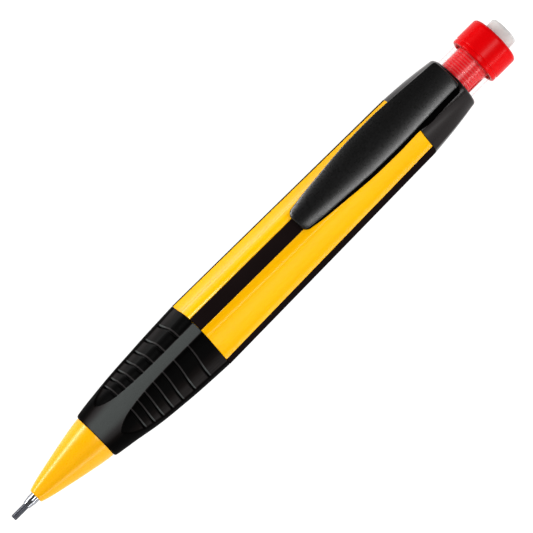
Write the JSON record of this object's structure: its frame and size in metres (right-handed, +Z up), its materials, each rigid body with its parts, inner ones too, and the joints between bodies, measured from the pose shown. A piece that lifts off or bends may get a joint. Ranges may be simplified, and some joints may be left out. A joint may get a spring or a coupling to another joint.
{
  "type": "mechanical pencil",
  "caption": "Fat triangular school pencil that feeds thick leads: rubber grip, pocket clip, push mechanism with a collet, and a twist-out eraser in the push knob.",
  "frame": {"origin": "on the surface that the pencil rests on, under the middle of its length and width", "axes": "+X along the pencil from the writing tip to the eraser, +Z up from the flat underside towards the pocket clip, +Y across"},
  "size_m": [0.139, 0.0166, 0.0187],
  "materials": {
    "yellow_plastic": "glossy moulded plastic, warm yellow",
    "black_plastic": "glossy moulded plastic, warm black",
    "grip_rubber": "soft rubber: satin dark grey on the edges, blacker and smoother in the ribbed finger pads",
    "red_plastic": "glossy moulded plastic, deep red",
    "clear_plastic": "clear moulded plastic",
    "eraser_vinyl": "matte white vinyl eraser",
    "inner_plastic": "plain natural grey plastic, inside the barrel",
    "retainer_rubber": "small black rubber bush",
    "steel": "bright turned steel",
    "brass": "bright turned brass",
    "graphite": "grey-black graphite with a faint sheen"
  },
  "bodies": {
    "barrel": {"barrel_shell": "yellow_plastic", "top_strip": "black_plastic", "edge_strip_left": "black_plastic", "edge_strip_right": "black_plastic", "grip_sleeve": "grip_rubber", "rear_collar": "black_plastic", "spring_bush": "inner_plastic", "return_spring": "steel"},
    "clip": {"pocket_clip": "black_plastic"},
    "tip_carriage": {"lead_sleeve": "steel", "lead_retainer": "retainer_rubber"},
    "cone": {"front_cone": "yellow_plastic"},
    "clutch": {"clutch_ring": "steel"},
    "push_unit": {"collet_stem": "brass", "lead_tube": "inner_plastic", "spare_lead_1": "graphite", "spare_lead_2": "graphite"},
    "jaw_1": {"collet_jaw_1": "brass"},
    "jaw_2": {"collet_jaw_2": "brass"},
    "jaw_3": {"collet_jaw_3": "brass"},
    "lead": {"lead": "graphite"},
    "eraser_unit": {"tube_plug": "inner_plastic", "thread_tube": "clear_plastic"},
    "knob": {"slotted_sleeve": "red_plastic", "twist_knob": "red_plastic"},
    "eraser_core": {"eraser_carrier": "red_plastic", "eraser": "eraser_vinyl"}
  },
  "joints": [
    {"name": "press", "type": "slide", "parent": "barrel", "child": "push_unit", "axis": [-1, 0, 0], "range_m": [0, 0.0035], "stiffness_N_per_m": 1000, "springref_m": -0.0025, "deforming": ["return_spring"]},
    {"name": "clutch_travel", "type": "slide", "parent": "barrel", "child": "clutch", "axis": [-1, 0, 0], "range_m": [0, 0.0015]},
    {"name": "jaw_1_flex", "type": "hinge", "parent": "push_unit", "child": "jaw_1", "pos_m": [-0.03847, 0, 0.0077], "axis": [0, 1, 0], "range_deg": [0, 1.3]},
    {"name": "jaw_2_flex", "type": "hinge", "parent": "push_unit", "child": "jaw_2", "pos_m": [-0.03847, -0.00087, 0.0062], "axis": [0, -0.5, 0.866], "range_deg": [0, 1.3]},
    {"name": "jaw_3_flex", "type": "hinge", "parent": "push_unit", "child": "jaw_3", "pos_m": [-0.03847, 0.00087, 0.0062], "axis": [0, -0.5, -0.866], "range_deg": [0, 1.3]},
    {"name": "lead_feed", "type": "slide", "parent": "barrel", "child": "lead", "axis": [-1, 0, 0], "range_m": [-0.0036, 0.012]},
    {"name": "eraser_unit_pull", "type": "slide", "parent": "push_unit", "child": "eraser_unit", "axis": [1, 0, 0], "range_m": [0, 0.03]},
    {"name": "knob_twist", "type": "hinge", "parent": "eraser_unit", "child": "knob", "pos_m": [0.0638, 0, 0.0067], "axis": [1, 0, 0], "range_deg": [-660, 4420]},
    {"name": "eraser_travel", "type": "slide", "parent": "knob", "child": "eraser_core", "axis": [1, 0, 0], "range_m": [-0.00235, 0.0159]},
    {"name": "cone_twist", "type": "hinge", "parent": "tip_carriage", "child": "cone", "pos_m": [-0.0495, 0, 0.0067], "axis": [-1, 0, 0], "range_deg": [0, 1400]},
    {"name": "cone_travel", "type": "slide", "parent": "barrel", "child": "tip_carriage", "axis": [-1, 0, 0], "range_m": [0, 0.0038]},
    {"name": "clip_flex", "type": "hinge", "parent": "barrel", "child": "clip", "pos_m": [0.0538, 0, 0.0113], "axis": [0, 1, 0], "range_deg": [0, 5], "stiffness_Nm_per_rad": 1, "springref_deg": -1.15}
  ],
  "couplings": [
    {"joint": "clutch_travel", "follows": "press", "ratio": 0.4},
    {"joint": "jaw_1_flex", "follows": "press", "rad_per_m": 5.984},
    {"joint": "jaw_2_flex", "follows": "press", "rad_per_m": 5.984},
    {"joint": "jaw_3_flex", "follows": "press", "rad_per_m": 5.984},
    {"joint": "knob_twist", "follows": "eraser_travel", "rad_per_m": 4833.2},
    {"joint": "cone_twist", "follows": "cone_travel", "rad_per_m": 6283.2}
  ]
}
